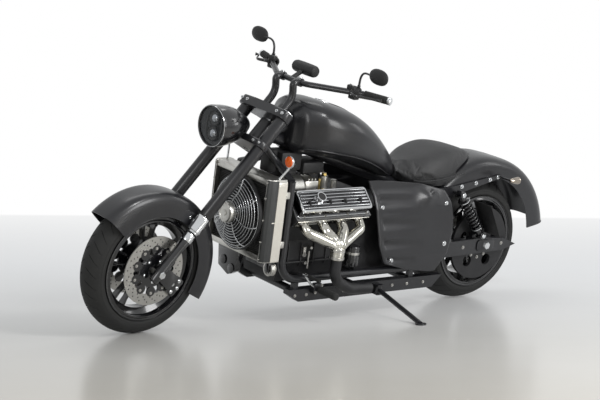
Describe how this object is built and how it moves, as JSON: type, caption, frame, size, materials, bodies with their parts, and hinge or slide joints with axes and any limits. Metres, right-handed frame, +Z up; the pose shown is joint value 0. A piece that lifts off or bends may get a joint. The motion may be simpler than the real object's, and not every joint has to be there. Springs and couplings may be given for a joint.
{
  "type": "cruiser motorcycle",
  "caption": "Long low black motorcycle with an open vee engine, a fan guard ahead of the radiator, twin front discs, a round headlamp and a wide rear tyre, on its side stand.",
  "frame": {"origin": "middle of the bounding box at the floor", "axes": "+X towards the front wheel, +Y to the rider's left, +Z up; the bike leans left onto its side stand and its bars turn slightly left"},
  "size_m": [2.8523, 1.065, 1.4196],
  "materials": {
    "tyre": "matt black rubber",
    "rim_black": "gloss black painted alloy",
    "radiator_silver": "satin aluminium",
    "wire_steel": "plated steel wire",
    "bright_steel": "ground steel",
    "chrome": "bright plating",
    "black_gloss": "gloss black paint",
    "black_satin": "satin black powder coat",
    "engine_grey": "grey painted casting",
    "black_plastic": "matt black plastic",
    "radiator": "black fins",
    "seat_leather": "black grained leather",
    "lens_clear": "clear lens",
    "mirror_black": "gloss black",
    "lens_orange": "orange lens with bright body",
    "lamp_black": "black shells with red lenses"
  },
  "bodies": {
    "chassis": {"cylinder_heads": "engine_grey", "engine_block": "engine_grey", "exhaust_headers": "chrome", "exhaust_outlets": "black_satin", "fan_guard": "wire_steel", "fan_motor": "black_plastic", "fender_struts": "black_satin", "foot_controls": "black_satin", "frame_backbone": "black_satin", "frame_cradle": "black_satin", "front_gear": "black_satin", "front_indicators": "lens_orange", "fuel_tank": "black_gloss", "gearbox": "black_satin", "intake_manifold": "engine_grey", "plate_bracket": "black_plastic", "radiator_core": "radiator", "radiator_tanks": "radiator_silver", "rear_axle": "bright_steel", "rear_fender": "black_gloss", "rear_lamps": "lamp_black", "seat": "seat_leather", "shocks": "black_satin", "side_panel_left": "black_gloss", "side_panel_right": "black_gloss", "swingarm": "black_satin", "tank_cap": "chrome", "valve_covers": "chrome"},
    "steering": {"fork_tubes": "black_satin", "fork_sleeves": "chrome", "triple_clamps": "black_satin", "front_axle": "bright_steel", "front_calipers": "black_satin", "front_fender": "black_gloss", "headlamp_shell": "black_gloss", "headlamp_lens": "lens_clear", "handlebar": "black_satin", "hand_controls": "black_plastic", "mirrors": "mirror_black", "gauge_pod": "black_plastic"},
    "front_wheel": {"front_tyre": "tyre", "front_rim": "rim_black", "front_discs": "bright_steel", "disc_carriers": "black_satin"},
    "rear_wheel": {"rear_tyre": "tyre", "rear_rim": "rim_black", "drive_pulley": "black_satin", "rear_disc": "bright_steel"},
    "fan": {"fan_rotor": "black_plastic"},
    "stand": {"side_stand": "black_satin"}
  },
  "joints": [
    {"name": "steering", "type": "hinge", "parent": "chassis", "child": "steering", "pos_m": [0.50389, -0.00949, 0.91357], "axis": [-0.6549, 0.1414, 0.7424], "range_deg": [-34.7, 25.3]},
    {"name": "front_wheel_spin", "type": "hinge", "parent": "steering", "child": "front_wheel", "pos_m": [1.09869, -0.11783, 0.32067], "axis": [-0.0622, 0.9689, -0.2395], "continuous": true},
    {"name": "rear_wheel_spin", "type": "hinge", "parent": "chassis", "child": "rear_wheel", "pos_m": [-0.92816, -0.12148, 0.32878], "axis": [-0.0003, 0.9823, -0.1874], "continuous": true},
    {"name": "fan_spin", "type": "hinge", "parent": "chassis", "child": "fan", "pos_m": [0.62118, -0.06005, 0.54162], "axis": [1, 0, -0.0016], "continuous": true},
    {"name": "side_stand", "type": "hinge", "parent": "chassis", "child": "stand", "pos_m": [-0.15448, 0.09486, 0.12747], "axis": [0.0016, 0.1874, 0.9823], "range_deg": [0, 85]}
  ]
}
